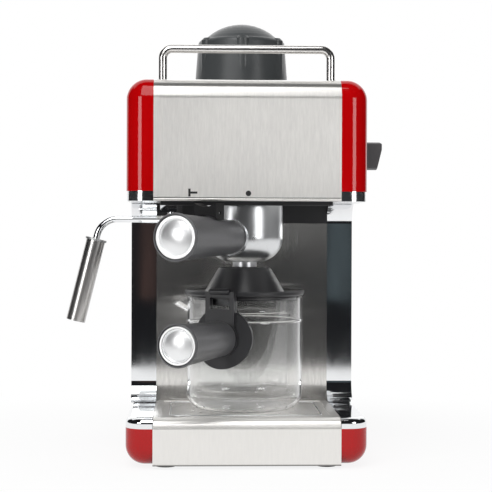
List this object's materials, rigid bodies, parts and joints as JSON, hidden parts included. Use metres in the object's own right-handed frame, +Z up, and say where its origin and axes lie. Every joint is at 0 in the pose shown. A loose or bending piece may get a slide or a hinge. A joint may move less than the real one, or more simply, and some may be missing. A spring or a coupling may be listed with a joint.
{
  "type": "espresso machine",
  "caption": "Steam espresso machine with steel body, red side cheeks, portafilter, glass carafe with lid, steam wand with frother sleeve, cup rail and screw-on boiler cap.",
  "frame": {"origin": "middle of the base's footprint, at the level of the table", "axes": "+X to the side with the selector knob, -Y to the front, +Z up"},
  "size_m": [0.2414, 0.2805, 0.3328],
  "materials": {
    "red_gloss": "high gloss red moulding",
    "brushed_steel": "brushed, grain upright on the head and base, level on the deck",
    "chrome": "bright plated",
    "black_plastic": "satin black moulding",
    "handle_plastic": "satin dark grey moulding",
    "satin_cap": "satin silver dome with a bright ring",
    "foot_rubber": "matt",
    "seal_rubber": "matt",
    "cast_metal": "as cast",
    "valve_brass": "machined",
    "clear_glass": "clear borosilicate"
  },
  "bodies": {
    "frame": {"base_housing": "black_plastic", "bottom_plate": "black_plastic", "lintel": "black_plastic", "rear_cover": "black_plastic", "cord_gland": "black_plastic", "head_floor": "black_plastic", "filler_collar": "black_plastic", "base_front_plate": "brushed_steel", "column_panel": "brushed_steel", "head_wrap": "brushed_steel", "under_plate": "brushed_steel", "base_cheek_left": "red_gloss", "base_cheek_right": "red_gloss", "head_cheek_left": "red_gloss", "head_cheek_right": "red_gloss", "base_rim_left": "chrome", "base_rim_right": "chrome", "column_side_left": "chrome", "column_side_right": "chrome", "head_trim_left": "chrome", "head_trim_right": "chrome", "cup_rail": "chrome", "rail_nut_left": "chrome", "rail_nut_right": "chrome", "shower_screen": "chrome", "wand_fitting": "chrome", "foot_front_left": "foot_rubber", "foot_front_right": "foot_rubber", "foot_back_left": "foot_rubber", "foot_back_right": "foot_rubber", "boiler": "cast_metal", "heating_element": "cast_metal", "brew_group": "cast_metal", "group_gasket": "seal_rubber", "brew_pipe": "valve_brass", "steam_valve": "valve_brass", "steam_pipe": "valve_brass"},
    "drip_tray": {"drip_deck": "brushed_steel", "drip_pan": "black_plastic"},
    "carafe": {"carafe_glass": "clear_glass", "carafe_bracket": "black_plastic", "carafe_handle": "handle_plastic", "carafe_cap": "satin_cap"},
    "carafe_lid": {"carafe_lid": "black_plastic"},
    "portafilter": {"portafilter_bowl": "chrome", "portafilter_spout": "chrome", "portafilter_handle": "handle_plastic", "portafilter_cap": "satin_cap", "filter_basket": "brushed_steel", "clip_pin": "chrome"},
    "basket_clip": {"basket_clip": "black_plastic"},
    "cap_core": {"cap_plug": "valve_brass"},
    "boiler_cap": {"boiler_cap": "black_plastic"},
    "selector_knob": {"selector_knob": "handle_plastic", "knob_shaft": "chrome"},
    "steam_wand": {"steam_wand": "chrome", "wand_nozzle": "chrome"},
    "frother": {"frother_collar": "chrome", "frother_sleeve": "chrome"}
  },
  "joints": [
    {"name": "drip_tray_slide", "type": "slide", "parent": "frame", "child": "drip_tray", "axis": [0, -1, 0], "range_m": [0, 0.1]},
    {"name": "carafe_slide", "type": "slide", "parent": "drip_tray", "child": "carafe", "axis": [0, -1, 0], "range_m": [0, 0.13]},
    {"name": "carafe_lid_turn", "type": "hinge", "parent": "carafe", "child": "carafe_lid", "pos_m": [0, -0.052, 0.1207], "axis": [0, 0, 1], "range_deg": [-45, 45]},
    {"name": "portafilter_lock", "type": "hinge", "parent": "frame", "child": "portafilter", "pos_m": [0, -0.052, 0.19], "axis": [0, 0, 1], "range_deg": [-12, 24.5]},
    {"name": "basket_clip_rock", "type": "hinge", "parent": "portafilter", "child": "basket_clip", "pos_m": [-0.02737, -0.11206, 0.1806], "axis": [-0.91, 0.4147, 0], "range_deg": [-5, 5]},
    {"name": "boiler_cap_lift", "type": "slide", "parent": "frame", "child": "cap_core", "axis": [0, 0, 1], "range_m": [0, 0.07]},
    {"name": "boiler_cap_turn", "type": "hinge", "parent": "cap_core", "child": "boiler_cap", "pos_m": [0, 0.032, 0.29], "axis": [0, 0, 1], "range_deg": [0, 450]},
    {"name": "selector_turn", "type": "hinge", "parent": "frame", "child": "selector_knob", "pos_m": [0.09, -0.015, 0.226], "axis": [1, 0, 0], "range_deg": [-90, 90]},
    {"name": "wand_swing", "type": "hinge", "parent": "frame", "child": "steam_wand", "pos_m": [-0.055, -0.015, 0.185], "axis": [0, 0, 1], "range_deg": [0, 60]},
    {"name": "frother_slide", "type": "slide", "parent": "steam_wand", "child": "frother", "axis": [-0.2419, 0, -0.9703], "range_m": [0, 0.045]}
  ]
}
